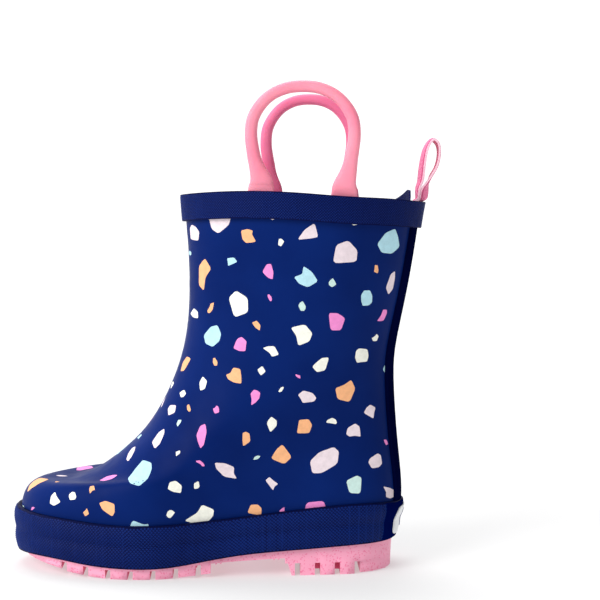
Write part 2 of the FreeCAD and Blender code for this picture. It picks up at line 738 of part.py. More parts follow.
# ---- write the parts ------------------------------------------------------------------------
def main():
    os.makedirs("parts", exist_ok=True)
    strip = make_back_strip()
    pieces = {
        "outsole": make_outsole(),
        "heel_filler": make_heel_filler(),
        "insole_board": make_insole_board(),
        "upper_shell": make_upper_shell(),
        "lining_sock": make_lining_sock(),
        "toe_puff": make_toe_puff(),
        "heel_counter": make_heel_counter(),
        "topline_tape": make_topline_tape(),
        "foxing_band": make_foxing_band(),
        "back_strip": strip,
        "collar_band": make_collar_band(strip),
        "heel_badge": make_heel_badge(),
        "handle_outer_tabs": make_handle_tabs(-1),
        "handle_inner_tabs": make_handle_tabs(1),
        "pull_loop_tail": make_pull_loop_tail(),
        "handle_outer_loop": make_handle_loop(-1),
        "handle_inner_loop": make_handle_loop(1),
        "pull_loop": make_pull_loop(),
        "footbed_foam": make_footbed_foam(),
        "footbed_cover": make_footbed_cover(),
    }
    for name, piece in pieces.items():
        piece.translate(-MIDDLE)
        valid = piece.isValid() and all(s.isValid() for s in piece.Solids)
        state = "valid" if valid else "INVALID"
        print(name, len(piece.Solids), "solids", round(piece.Volume, 1), "mm3", state)
        piece.exportStep(os.path.join("parts", name + ".step"))


main()
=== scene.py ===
import json
import math
import random

import bmesh
import bpy
import numpy as np
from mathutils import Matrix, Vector
from mathutils.bvhtree import BVHTree
from mathutils.geometry import delaunay_2d_cdt


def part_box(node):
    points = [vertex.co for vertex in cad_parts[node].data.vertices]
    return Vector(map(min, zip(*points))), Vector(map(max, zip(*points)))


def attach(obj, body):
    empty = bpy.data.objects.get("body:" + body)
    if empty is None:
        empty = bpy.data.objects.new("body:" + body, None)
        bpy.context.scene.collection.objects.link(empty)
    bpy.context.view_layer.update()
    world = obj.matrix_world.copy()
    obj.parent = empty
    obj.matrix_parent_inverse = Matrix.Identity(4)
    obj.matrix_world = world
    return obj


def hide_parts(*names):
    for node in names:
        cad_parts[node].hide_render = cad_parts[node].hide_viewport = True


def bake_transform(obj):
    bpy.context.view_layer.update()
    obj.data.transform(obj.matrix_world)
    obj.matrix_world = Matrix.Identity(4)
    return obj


# A child's rubber rain boot. The CAD frame gives every place; this script gives the looks.
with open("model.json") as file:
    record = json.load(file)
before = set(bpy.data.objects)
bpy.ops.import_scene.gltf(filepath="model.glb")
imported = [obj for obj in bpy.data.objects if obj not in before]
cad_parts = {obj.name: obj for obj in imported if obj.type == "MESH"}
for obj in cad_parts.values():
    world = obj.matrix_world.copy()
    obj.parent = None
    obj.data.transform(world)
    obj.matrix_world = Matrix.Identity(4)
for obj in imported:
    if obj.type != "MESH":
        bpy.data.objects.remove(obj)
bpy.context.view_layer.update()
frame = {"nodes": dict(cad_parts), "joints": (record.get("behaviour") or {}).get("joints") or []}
NODES = frame["nodes"]
JOINTS = {joint["name"]: joint for joint in frame["joints"]}
MM = 0.001  # lengths named without a unit are millimetres
UP = Vector((0, 0, 1))

# ---- sizes, in millimetres -----------------------------------------------------------------
PRINT_LIFT = 0.05  # the printed chips lie this far above the rubber
PRINT_MESH = 1.1  # edge length of the triangles in a chip
CHIP_GAP = 4.2  # bare rubber between two chips of middling size
PRINT_TOP_Z = 156.0  # no chip has its middle above this, so that none runs over the rim
WELD = 0.002  # vertices closer than this are one
RING_STEPS = 180
# The heights between which a ring-shaped node's vertices give its ring
FOXING_RING = (20, 26)
COLLAR_RING = (152, 160)
LINING_RING = (100, 150)

# ---- colours, as 0-255 display values ------------------------------------------------------
CHIP_COLOURS = {
    "orchid": (246, 146, 212),
    "blush": (238, 222, 228),
    "cream": (250, 250, 238),
    "mint": (205, 233, 226),
    "sky": (185, 228, 240),
    "orange": (252, 186, 136),
}


def linear(colour):
    """Display values 0-255 to the renderer's linear RGBA."""
    shares = [c / 255 for c in colour]
    return (*[s / 12.92 if s <= 0.04045 else ((s + 0.055) / 1.055) ** 2.4 for s in shares], 1.0)


def point_mm(x, y, z):
    return Vector((x, y, z)) * MM


# ---- materials ------------------------------------------------------------------------------
class Look:
    """A material on one Principled shader, with short ways to add nodes to it."""

    def __init__(self, name, roughness=0.5, **constants):
        self.material = bpy.data.materials.new(name)
        self.material.use_nodes = True
        self.tree = self.material.node_tree
        self.shader = self.tree.nodes["Principled BSDF"]
        self.shader.inputs["Roughness"].default_value = roughness
        for socket, value in constants.items():
            self.shader.inputs[socket.replace("_", " ")].default_value = value
        self.place = self.node("ShaderNodeTexCoord").outputs["Object"]

    def node(self, kind, settings=(), **inputs):
        made = self.tree.nodes.new(kind)
        for key, value in dict(settings).items():
            setattr(made, key, value)
        for key, value in inputs.items():
            socket = made.inputs[int(key[1:]) if key[1:].isdigit() else key.replace("_", " ")]
            if isinstance(value, bpy.types.NodeSocket):
                self.tree.links.new(value, socket)
            else:
                socket.default_value = value
        return made

    def math(self, operation, first, second=0.0):
        return self.node("ShaderNodeMath", {"operation": operation}, i0=first, i1=second).outputs[0]

    def noise(self, scale, detail=3.0, roughness=0.5):
        settings = {"Scale": scale, "Detail": detail, "Roughness": roughness}
        return self.node("ShaderNodeTexNoise", Vector=self.place, **settings).outputs["Fac"]

    def speckle(self, size_mm, share):
        """1 on grains of about this size, which cover this share of the surface, and 0 elsewhere."""
        cells = self.node("ShaderNodeTexVoronoi", Vector=self.place, Scale=1 / (size_mm * MM))
        pick = self.node("ShaderNodeSeparateColor", Color=cells.outputs["Color"]).outputs[0]
        return self.math("LESS_THAN", pick, share)

    def blend(self, factor, first, second):
        made = self.node("ShaderNodeMix", {"data_type": "RGBA"}, i0=factor, i6=first, i7=second)
        return made.outputs[2]

    def band(self, value, low, high, to_low=0.0, to_high=1.0):
        made = self.node("ShaderNodeMapRange", i0=value, i1=low, i2=high, i3=to_low, i4=to_high)
        return made.outputs[0]

    def use(self, colour, roughness=None, height=None, bump_mm=0.1, strength=0.5):
        self.tree.links.new(colour, self.shader.inputs["Base Color"])
        if roughness is not None:
            self.tree.links.new(roughness, self.shader.inputs["Roughness"])
        if height is not None:
            bump = self.node("ShaderNodeBump", Strength=strength, Distance=bump_mm * MM, Height=height)
            self.tree.links.new(bump.outputs["Normal"], self.shader.inputs["Normal"])
        return self.material

    def along_and_across(self):
        """The wrap coordinates of a ring-shaped piece: millimetres round it, and up it."""
        uv = self.node("ShaderNodeUVMap", {"uv_map": "wrap"}).outputs[0]
        split = self.node("ShaderNodeSeparateXYZ", Vector=uv)
        return split.outputs[0], split.outputs[1]

    def diamonds(self, pitch):
        """Small raised diamonds in crossing rows, 0 to 1."""
        along, across = self.along_and_across()
        waves = []
        for sign in ("ADD", "SUBTRACT"):
            phase = self.math("MULTIPLY", self.math(sign, along, across), math.pi / pitch)
            waves.append(self.math("ABSOLUTE", self.math("SINE", phase)))
        return self.math("MULTIPLY", *waves)


def rubber(name, dark, light, roughness, grain_mm=0.05, specular=0.03):
    """Smooth moulded rubber: a soft drift of tone, a fine pore and a slightly uneven gloss."""
    look = Look(name, Specular_IOR_Level=specular)
    drift = look.noise(22.0, 4.0)
    pore = look.noise(1900.0, 2.0)
    colour = look.blend(look.band(drift, 0.3, 0.7), linear(dark), linear(light))
    gloss = look.band(look.noise(160.0, 5.0), 0.3, 0.7, roughness - 0.05, roughness + 0.06)
    return look.use(colour, gloss, pore, grain_mm, 0.25)


def knurled(name, dark, light, pitch, bump_mm):
    """Rubber with a fine cloth-like grain, as pressed between canvas rollers. The raised diamonds are painted
    lighter and the hollows darker: painted highlight and shade.
    """
    look = Look(name, Specular_IOR_Level=0.05)
    relief = look.diamonds(pitch)
    uneven = look.noise(900.0, 3.0)
    height = look.math("ADD", relief, look.math("MULTIPLY", uneven, 0.35))
    # Painted highlight and shade: the colour follows the relief, lighter on the raised diamonds and darker in
    # the hollows.
    colour = look.blend(look.band(relief, 0.25, 0.9), linear(dark), linear(light))
    return look.use(colour, look.band(relief, 0.0, 1.0, 0.62, 0.46), height, bump_mm, 0.8)


def ink(name, colour):
    """Print ink on rubber, a little matt, with the print's faint mottling."""
    look = Look(name, Specular_IOR_Level=0.08)
    shade = tuple(c * 0.94 for c in colour)
    mottled = look.blend(look.band(look.noise(420.0, 5.0, 0.7), 0.35, 0.65), linear(shade), linear(colour))
    gloss = look.band(look.noise(200.0), 0.3, 0.7, 0.42, 0.55)
    return look.use(mottled, gloss, look.noise(1900.0), 0.03, 0.2)


def sole_rubber():
    """Pink rubber with fine speckles, and painted shade: a deeper, darker pink on faces that a face attribute
    marks as lying in a groove.
    """
    look = Look("sole_pink", Specular_IOR_Level=0.3)
    groove_shade = look.node("ShaderNodeAttribute", {"attribute_name": "groove_shade"}).outputs["Fac"]
    face = look.blend(look.speckle(0.5, 0.10), linear((255, 170, 198)), linear((248, 132, 170)))
    # Painted shade: the groove colour is the same pink rubber drawn darker, for the shade that falls in the
    # grooves.
    floor = look.blend(look.speckle(0.5, 0.10), linear((244, 84, 132)), linear((230, 66, 118)))
    colour = look.blend(look.band(groove_shade, 0.15, 0.85), face, floor)
    scuffed = look.band(look.noise(300.0, 6.0, 0.65), 0.3, 0.7, 0.45, 0.62)
    return look.use(colour, scuffed, look.noise(1300.0, 4.0), 0.06, 0.35)


def knit(name, dark, light, pitch):
    """Fine knitted textile: columns of small loops."""
    look = Look(name, roughness=0.9, Specular_IOR_Level=0.05, Sheen_Weight=0.06)
    along, across = look.along_and_across()
    column = look.math("ABSOLUTE", look.math("SINE", look.math("MULTIPLY", along, math.pi / pitch)))
    lean = look.math("MULTIPLY", column, pitch * 0.5)
    row = look.math("MULTIPLY", look.math("ADD", across, lean), math.pi / (pitch * 0.8))
    loops = look.math("MULTIPLY", column, look.math("ABSOLUTE", look.math("SINE", row)))
    tone = look.math("ADD", look.math("MULTIPLY", loops, 0.7), look.math("MULTIPLY", look.noise(700.0), 0.4))
    return look.use(look.blend(tone, linear(dark), linear(light)), None, loops, 0.2, 0.9)


def pressed(name, dark, light, grain):
    """Fibreboard, sponge or non-woven stiffener: matt, with a grain of this many features per metre."""
    look = Look(name, roughness=0.95, Specular_IOR_Level=0.1)
    fibre = look.noise(grain, 6.0, 0.7)
    colour = look.blend(look.band(fibre, 0.3, 0.7), linear(dark), linear(light))
    return look.use(colour, None, fibre, 0.25, 0.8)


def handle_rubber(name, dark, light):
    """Soft translucent rubber with a cloudy tone."""
    look = Look(name, Specular_IOR_Level=0.25, Subsurface_Weight=0.12, Subsurface_Scale=0.003)
    cloud = look.band(look.noise(60.0, 3.0), 0.3, 0.7)
    colour = look.blend(cloud, linear(dark), linear(light))
    gloss = look.band(look.noise(240.0, 4.0), 0.3, 0.7, 0.38, 0.5)
    return look.use(colour, gloss, look.noise(1500.0), 0.04, 0.25)


def woven_ribbon():
    """Grosgrain: fine ribs across the ribbon, pale edges, and a darker line inside each edge."""
    look = Look("ribbon_pink", roughness=0.75, Specular_IOR_Level=0.2, Sheen_Weight=0.2)
    along, across = look.along_and_across()
    rib = look.math("ABSOLUTE", look.math("SINE", look.math("MULTIPLY", along, math.pi / 0.55)))
    edge = look.math("ABSOLUTE", across)
    line = look.math("MULTIPLY", look.math("GREATER_THAN", edge, 3.1), look.math("LESS_THAN", edge, 3.9))
    ground = look.blend(rib, linear((222, 84, 140)), linear((244, 124, 168)))
    lined = look.blend(line, ground, linear((196, 50, 108)))
    colour = look.blend(look.math("GREATER_THAN", edge, 4.3), lined, linear((250, 200, 216)))
    return look.use(colour, None, rib, 0.12, 0.8)


# ---- meshes ---------------------------------------------------------------------------------
def add_to_scene(name, data):
    made = bpy.data.objects.new(name, data)
    bpy.context.scene.collection.objects.link(made)
    return made


def piece_of(data, name, material, body):
    """A smooth-shaded piece with this mesh."""
    piece = add_to_scene(name, data)
    data.materials.append(material)
    data.polygons.foreach_set("use_smooth", [True] * len(data.polygons))
    if body:
        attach(piece, body)
    return piece


def new_piece(name, vertices, faces, material, body=None):
    data = bpy.data.meshes.new(name)
    data.from_pydata([tuple(v) for v in vertices], [], faces)
    data.validate()
    return piece_of(data, name, material, body)


def piece_from(mesh, name, material, body):
    """A new piece from a bmesh, which is freed."""
    mesh.verts.index_update()
    data = bpy.data.meshes.new(name)
    mesh.to_mesh(data)
    mesh.free()
    return piece_of(data, name, material, body)


def welded_copy(node):
    """The CAD node's vertices and faces, with the vertices of touching faces joined."""
    mesh = bmesh.new()
    mesh.from_mesh(NODES[node].data)
    bmesh.ops.remove_doubles(mesh, verts=mesh.verts, dist=WELD * MM)
    return mesh


def surface_of(node):
    mesh = welded_copy(node)
    tree = BVHTree.FromBMesh(mesh)
    mesh.free()
    return tree


def sharp_at(piece, degrees):
    piece.data.set_sharp_from_angle(angle=math.radians(degrees))


def ring_around(node, low, high):
    """A closed line round a ring-shaped node, seen from above, from its vertices between two heights."""
    points = np.array([v.co[:2] for v in NODES[node].data.vertices if low * MM < v.co.z < high * MM])
    middle = (points.min(0) + points.max(0)) / 2
    angles = np.arctan2(*(points - middle).T[::-1])
    step = 2 * math.pi / RING_STEPS
    ring = []
    for k in range(RING_STEPS):
        way = -math.pi + k * step
        near = np.abs((angles - way + math.pi) % (2 * math.pi) - math.pi) < 1.5 * step
        if near.any():
            reach = np.linalg.norm(points[near] - middle, axis=1).max()
            ring.append(middle + reach * np.array([math.cos(way), math.sin(way)]))
    return np.array(ring)


def wrap(piece, ring):
    """Gives a ring-shaped piece its wrap coordinates, in millimetres: along the ring, and up."""
    following = np.roll(ring, -1, axis=0)
    lengths = np.linalg.norm(following - ring, axis=1)
    starts = np.concatenate([[0], np.cumsum(lengths)[:-1]])
    total = lengths.sum()
    coords = []
    for vertex in piece.data.vertices:
        here = np.array(vertex.co[:2])
        side = following - ring
        share = np.clip(((here - ring) * side).sum(1) / np.maximum(lengths**2, 1e-12), 0, 1)
        gaps = np.linalg.norm(ring + side * share[:, None] - here, axis=1)
        nearest = int(gaps.argmin())
        coords.append((starts[nearest] + share[nearest] * lengths[nearest], vertex.co.z))
    layer = piece.data.uv_layers.new(name="wrap")
    for face in piece.data.polygons:
        alongs = [coords[v][0] for v in face.vertices]
        split = max(alongs) - min(alongs) > total / 2
        for loop, v in zip(face.loop_indices, face.vertices):
            along, up = coords[v]
            if split and along < total / 2:
                along += total
            layer.data[loop].uv = (along / MM, up / MM)


# ---- the boot's layers ----------------------------------------------------------------------
def ring_piece(node, name, material, heights):
    """A detailed copy of a ring-shaped CAD node, with wrap coordinates for its pattern."""
    piece = piece_from(welded_copy(node), name, material, "boot")
    wrap(piece, ring_around(node, *heights))
    sharp_at(piece, 40)
    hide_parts(node)
    return piece


def paint(node, material):
    """Gives its material to a CAD node that no piece replaces."""
    data = NODES[node].data
    data.materials.clear()
    data.materials.append(material)


def make_layers():
    for node, material in (
        ("upper_shell", rubber("upper_navy", (3, 27, 88), (7, 36, 104), 0.42)),
        ("back_strip", rubber("strip_navy", (1, 4, 38), (3, 8, 50), 0.6, specular=0.0)),
        ("toe_puff", pressed("toe_puff_felt", (196, 192, 184), (226, 222, 214), 900.0)),
        ("heel_counter", pressed("counter_felt", (188, 184, 176), (220, 216, 208), 900.0)),
        ("topline_tape", pressed("cotton_tape", (8, 18, 66), (20, 34, 92), 1600.0)),
        ("insole_board", pressed("fibreboard", (168, 142, 110), (198, 174, 140), 700.0)),
        ("heel_filler", pressed("sponge", (60, 62, 70), (92, 94, 102), 500.0)),
        ("heel_badge", rubber("badge_white", (226, 230, 234), (242, 244, 246), 0.5)),
    ):
        paint(node, material)
    # Painted highlight: the raised knurl points are the band's own navy rubber drawn lighter, where light
    # catches their tops.
    highlit_points_navy = rubber("knurl_points_highlit", (1, 26, 92), (5, 38, 112), 0.45, specular=0.1)
    foxing_navy = knurled("foxing_navy", (0, 4, 46), (1, 16, 74), 0.75, 0.12)
    ring_piece("foxing_band", "foxing_rolled", foxing_navy, FOXING_RING)
    foxing_face = BandFace("foxing_band", FOXING_RING)
    make_knurl(foxing_face, "foxing_knurl", highlit_points_navy, pitch=1.5, row=0.85, height=0.34)
    make_heel_lap(foxing_face, rubber("lap_navy", (0, 6, 58), (1, 12, 72), 0.6, specular=0.0))
    collar_navy = knurled("collar_navy", (0, 6, 54), (2, 18, 80), 0.6, 0.1)
    ring_piece("collar_band", "collar_rolled", collar_navy, COLLAR_RING)
    collar_face = BandFace("collar_band", COLLAR_RING)
    make_knurl(collar_face, "collar_knurl", highlit_points_navy, pitch=1.15, row=0.6, height=0.2)
    lining_knit = knit("lining_knit", (8, 14, 60), (20, 32, 92), 1.0)
    lining = ring_piece("lining_sock", "lining_cloth", lining_knit, LINING_RING)
    raise_lining_lip(lining)


class BandFace:
    """The outward face of a band: places on it by the way along its ring and the share of its height."""

    REACH = 6.0  # rays start this far outside the ring and end this far inside it
    STEP = 0.4  # between the heights that are tried

    def __init__(self, node, heights):
        self.surface = surface_of(node)
        self.ring = ring_around(node, *heights)
        self.count = len(self.ring)
        lengths = np.linalg.norm(np.roll(self.ring, -1, axis=0) - self.ring, axis=1)
        self.starts = np.concatenate([[0.0], np.cumsum(lengths)])
        self.length = self.starts[-1]
        bottom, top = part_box(node)
        tried = np.arange(bottom.z + self.STEP / 4 * MM, top.z, self.STEP * MM)
        self.spans = []
        for k in range(self.count):
            spot, outward = self.beside(k, 0.0)
            seen = [z for z in tried if self.touch(spot, outward, z)]
            self.spans.append((min(seen), max(seen)))
        self.spans.append(self.spans[0])

    def stretch_at(self, along):
        """Which stretch of the ring this way along it is in, and the share of that stretch."""
        along %= self.length
        k = min(int(np.searchsorted(self.starts, along, side="right")) - 1, self.count - 1)
        return k, (along - self.starts[k]) / (self.starts[k + 1] - self.starts[k])

    def beside(self, k, share):
        """Place on a stretch of the ring, seen from above, and the outward direction there."""
        here, there = self.ring[k], self.ring[(k + 1) % self.count]
        side = self.ring[(k + 2) % self.count] - self.ring[k - 1]
        spot = here + (there - here) * share
        return Vector((*spot, 0)), Vector((side[1], -side[0], 0)).normalized()

    def touch(self, spot, outward, z):
        start = spot + outward * (self.REACH * MM) + UP * z
        hit, normal, _, _ = self.surface.ray_cast(start, -outward, 2 * self.REACH * MM)
        return (hit, normal) if hit is not None and normal.dot(outward) > 0.3 else None

    def at(self, along, share):
        """Point and outward normal, share of the way from the band's lower edge to its upper edge."""
        k, part = self.stretch_at(along)
        spot, outward = self.beside(k, part)
        low = self.spans[k][0] * (1 - part) + self.spans[k + 1][0] * part
        high = self.spans[k][1] * (1 - part) + self.spans[k + 1][1] * part
        return self.touch(spot, outward, low + (high - low) * share)

    def along_nearest(self, x, y):
        return self.starts[int(np.linalg.norm(self.ring - np.array([x, y]) * MM, axis=1).argmin())]


KNURL_SUNK = 0.08  # the foot of a raised point lies this deep in the band


def make_knurl(face, name, material, pitch, row, height):
    """Staggered rows of small raised points over a band's face, each a pyramid on a diamond."""
    columns = round(face.length / (pitch * MM))
    step = face.length / columns
    tallest = max(high - low for low, high in face.spans)
    rows = round(tallest / (row * MM))
    vertices, faces = [], []
    for r in range(1, rows):
        for c in range(columns):
            found = face.at((c + 0.5 * (r % 2)) * step, r / rows)
            if found is None:
                continue
            spot, normal = found
            right = UP.cross(normal).normalized()
            up = normal.cross(right)
            first = len(vertices)
            base = spot - normal * (KNURL_SUNK * MM)
            half_wide, half_tall = right * (0.5 * pitch * MM), up * (0.75 * row * MM)
            vertices += [base + half_wide, base + half_tall, base - half_wide, base - half_tall]
            vertices.append(spot + normal * (height * MM))
            faces += [(first + k, first + (k + 1) % 4, first + 4) for k in range(4)]
    points = new_piece(name, vertices, faces, material, "boot")
    wrap(points, face.ring)


# The band's two ends meet under a short strip round the heel, from its outer side to its inner side.
LAP_START, LAP_END = (73.5, -16.5), (72.0, 19.5)
LAP_THICKNESS = 0.5


def make_heel_lap(face, material):
    """A thin smooth strip over the band round the heel, which sinks into the band at its border."""
    start, end = face.along_nearest(*LAP_START), face.along_nearest(*LAP_END)
    length = (end - start) / MM
    columns = [0.0, 0.25, *np.linspace(1.0, length - 1.0, 44), length - 0.25, length]
    shares = [0.0, 0.02, *np.linspace(0.06, 0.94, 12), 0.98, 1.0]
    vertices, faces = [], []
    for c, column in enumerate(columns):
        for r, share in enumerate(shares):
            at_border = c in (0, len(columns) - 1) or r in (0, len(shares) - 1)
            # Where the band's very edge is missed, a place just inside it is taken.
            along = start + column * MM
            spot, normal = face.at(along, share) or face.at(along, 0.9 * share + 0.05)
            vertices.append(spot + normal * ((0.0 if at_border else LAP_THICKNESS) * MM))
    rows = len(shares)
    for c in range(len(columns) - 1):
        for r in range(rows - 1):
            a = c * rows + r
            faces.append((a, a + rows, a + rows + 1, a + 1))
    lap = new_piece("foxing_lap", vertices, faces, material, "boot")
    wrap(lap, face.ring)
    sharp_at(lap, 40)


LIP_PEAK = Vector((82.5, 5.0))  # where the lining's edge stands highest, seen from above
LIP_REACH, LIP_RISE, LIP_DEPTH = 13.0, 6.2, 1.2
LIP_FROM_Z = 150.0  # the lining below this stays as it is
EDGE_REACH = 3.0  # the edge's height at a place is the highest vertex within this distance


def raise_lining_lip(lining):
    """Raises the lining's edge beside the pull loop, on the inner side."""
    upper_part = [v for v in lining.data.vertices if v.co.z > LIP_FROM_Z * MM]
    near = [v for v in upper_part if (v.co.xy / MM - LIP_PEAK).length < LIP_REACH]
    before = [v.co.copy() for v in near]
    for vertex, place in zip(near, before):
        edge = max(o.z for o in before if (o.xy - place.xy).length < EDGE_REACH * MM)
        rim_share = max(0.0, 1.0 - (edge - place.z) / (LIP_DEPTH * MM))
        away = (place.xy / MM - LIP_PEAK).length / LIP_REACH
        inner_side = min(1.0, max(0.0, place.y / MM / 4 + 0.5))
        vertex.co.z += LIP_RISE * MM * rim_share * (1 - away) * inner_side


# ---- the terrazzo print ---------------------------------------------------------------------
# Chip sizes, largest first: (narrowest, widest, at most this many, gap round them as a share of CHIP_GAP)
CHIP_SIZES = [(11.5, 15.0, 36, 1.3), (7.0, 11.0, 120, 0.95), (3.5, 6.0, 120, 0.8)]
BITTEN_SHARE = 0.55  # this share of the chips has one corner broken inwards


def broken_chip(chance):
    """An irregular chip's outline in a box about 1 across."""
    corners = chance.randint(5, 8)
    bitten = chance.randrange(corners) if chance.random() < BITTEN_SHARE else None
    outline = []
    for k in range(corners):
        way = 2 * math.pi * (k + chance.uniform(-0.28, 0.28)) / corners
        reach = 0.2 if k == bitten else chance.uniform(0.34, 0.56)
        outline.append((reach * math.cos(way), reach * math.sin(way)))
    return outline


def rounded(outline, passes=2, cut=0.13):
    """Takes the corners off a closed outline."""
    for _ in range(passes):
        softer = []
        for here, there in zip(outline, outline[1:] + outline[:1]):
            for share in (cut, 1 - cut):
                softer.append(tuple(a + (b - a) * share for a, b in zip(here, there)))
        outline = softer
    return outline


def filled(outline, step):
    """Flat triangles inside a closed outline, none much larger than step."""
    edge_points = []
    for here, there in zip(outline, outline[1:] + outline[:1]):
        count = max(1, round(math.dist(here, there) / step))
        for k in range(count):
            edge_points.append(Vector([a + (b - a) * k / count for a, b in zip(here, there)]))
    count = len(edge_points)
    across = max(p.x for p in edge_points)
    up = max(p.y for p in edge_points)
    inner = []
    for row in range(-int(up / step) - 1, int(up / step) + 2):
        for column in range(-int(across / step) - 1, int(across / step) + 2):
            inner.append(Vector(((column + 0.5 * (row % 2)) * step, row * step)))
    edges = [(k, (k + 1) % count) for k in range(count)]
    made = delaunay_2d_cdt(edge_points + inner, edges, [list(range(count))], 1, 1e-4)
    return made[0], made[2]


class PrintedChips:
    """All chips on one surface, gathered by colour and laid on it."""

    REACH = 12.0  # a chip follows the surface about this far up or down from its anchor

    def __init__(self, surface):
        self.surface = surface
        self.meshes = {colour: ([], []) for colour in CHIP_COLOURS}
        self.placed = []

    def add(self, shape, colour, anchor, facing, width, height, turn):
        """Lays a chip on the surface round its anchor. Its outline is true to size seen along facing."""

        def folded_back(triangle):
            a, b, c = (flat[k] for k in triangle)
            return (b - a).cross(c - a) < 0

        up = (UP - facing * UP.dot(facing)).normalized()
        right = up.cross(facing)
        spin = math.radians(turn)
        outline = []
        for x, y in rounded(shape):
            x, y = x * width, y * height
            outline.append((x * math.cos(spin) - y * math.sin(spin), x * math.sin(spin) + y * math.cos(spin)))
        flat, triangles = filled(outline, PRINT_MESH)
        vertices, faces = self.meshes[colour]
        first = len(vertices)
        reach = self.REACH * MM
        for spot in flat:
            start = anchor + right * (spot.x * MM) + up * (spot.y * MM) + facing * reach
            hit, normal, _, _ = self.surface.ray_cast(start, -facing, 2.2 * reach)
            if hit is None:
                hit, normal, _, _ = self.surface.find_nearest(start - facing * reach)
            if normal.dot(facing) < 0:
                normal = -normal
            vertices.append(hit + normal * (PRINT_LIFT * MM))
        for triangle in triangles:
            turned = triangle[::-1] if folded_back(triangle) else triangle
            faces.append([first + k for k in turned])
        self.placed.append((anchor, max(width, height) / 2 * MM))

    def lies_flat(self, spot, normal, radius):
        """Whether the surface turns little within this distance of the spot."""
        side = normal.orthogonal().normalized()
        other = normal.cross(side)
        near = [self.surface.find_nearest(spot + way * radius) for way in (side, -side, other, -other)]
        return all(found[1].dot(normal) > 0.75 for found in near)

    def is_free(self, spot, radius, gap):
        return all((spot - other).length > radius + size + gap for other, size in self.placed)

    def finish(self, stem, body, inks):
        for colour, (vertices, faces) in self.meshes.items():
            if faces:
                piece = new_piece(f"{stem}_{colour}", vertices, faces, inks[colour], body)
                piece.visible_shadow = False


def random_spots(node, count, seed):
    """Points spread evenly over a CAD node, each with its face's normal, and the random source used."""
    mesh = welded_copy(node)
    bmesh.ops.triangulate(mesh, faces=mesh.faces)
    faces = list(mesh.faces)
    areas = [f.calc_area() for f in faces]
    chance = random.Random(seed)
    spots = []
    for face in chance.choices(faces, weights=areas, k=count):
        a, b, c = [v.co for v in face.verts]
        u, v = chance.random(), chance.random()
        if u + v > 1:
            u, v = 1 - u, 1 - v
        spots.append((a + (b - a) * u + (c - a) * v, face.normal.copy()))
    mesh.free()
    return spots, chance


# One of these is drawn for each chip, so a colour that stands here twice is twice as common.
COLOUR_DRAW = ["orchid", "blush", "cream", "mint", "orange", "sky", "blush", "orange", "orchid", "cream"]


def scatter(chips, spots, chance, wanted):
    """Lays chips of three sizes at free spots: few large ones first, then the small ones between them."""
    usable = [(spot, normal) for spot, normal in spots if wanted(spot, normal)]
    for narrowest, widest, most, gap_share in CHIP_SIZES:
        done = 0
        for spot, normal in usable:
            if done == most:
                break
            width = chance.uniform(narrowest, widest)
            height = width * chance.uniform(0.42, 1.0)
            radius = max(width, height) / 2 * MM
            gap = CHIP_GAP * gap_share * MM
            if chips.is_free(spot, radius, gap) and chips.lies_flat(spot, normal, radius):
                turn = chance.uniform(0, 360)
                chips.add(broken_chip(chance), chance.choice(COLOUR_DRAW), spot, normal, width, height, turn)
                done += 1


SPOT_COUNT = 9000  # places tried, which is far more than there is room for
PRINT_SEED = 7


def make_print():
    inks = {name: ink(f"ink_{name}", colour) for name, colour in CHIP_COLOURS.items()}
    shell = surface_of("upper_shell")
    chips = PrintedChips(shell)
    spots, chance = random_spots("upper_shell", SPOT_COUNT, PRINT_SEED)

    def on_the_outside(spot, normal):
        outward = shell.ray_cast(spot + normal * (0.2 * MM), normal)[0] is None
        return outward and spot.z < PRINT_TOP_Z * MM

    scatter(chips, spots, chance, on_the_outside)
    chips.finish("print", "boot", inks)


# ---- handles and pull loop ------------------------------------------------------------------
# One leg and half the arch: (from the handle's middle, above the hinge, half width, half thickness)
HANDLE_HALF = [
    (17.4, -9.0, 5.6, 0.42), (17.4, -6.0, 5.6, 0.42), (17.4, -3.4, 5.6, 0.5), (17.4, -1.2, 5.4, 1.1),
    (17.4, 0.8, 5.1, 1.65), (17.8, 3.0, 4.5, 1.8), (18.7, 6.0, 3.7, 2.0), (19.9, 10.5, 3.0, 2.4),
    (20.9, 15.8, 2.75, 2.65), (21.6, 21.9, 2.65, 2.65), (20.9, 28.4, 2.6, 2.6), (17.8, 34.1, 2.5, 2.5),
    (13.0, 38.6, 2.45, 2.5), (6.7, 41.3, 2.45, 2.5),
]
HANDLE_TOP = (0.0, 42.0, 2.45, 2.5)
UPRIGHT_FROM = 12.0  # above the hinge by this much, the legs stand upright again
IN_POCKET_FROM = 3.4  # below the hinge by this much, the feet are in their pocket
POCKET_DEPTH = 4.0  # the pocket's middle is looked for at least this far below the hinge
FOOT_DEPTH = 0.45  # from a foot's inward face to its middle
# Per handle: side of the boot, width share of its arch
HANDLES = {
    "outer": (-1, 1.0),
    "inner": (1, 0.91),
}


def smooth_rows(rows, per_row=5):
    """More rows between these, on a Catmull-Rom curve."""
    rows = [np.array(r, float) for r in rows]
    rows = [2 * rows[0] - rows[1], *rows, 2 * rows[-1] - rows[-2]]
    fine = []
    for before, here, there, after in zip(rows, rows[1:], rows[2:], rows[3:]):
        for k in range(per_row):
            t = k / per_row
            bend = (2 * before - 5 * here + 4 * there - after) * t**2
            twist = (3 * here - before - 3 * there + after) * t**3
            fine.append(0.5 * (2 * here + (there - before) * t + bend + twist))
    fine.append(rows[-2])
    return fine


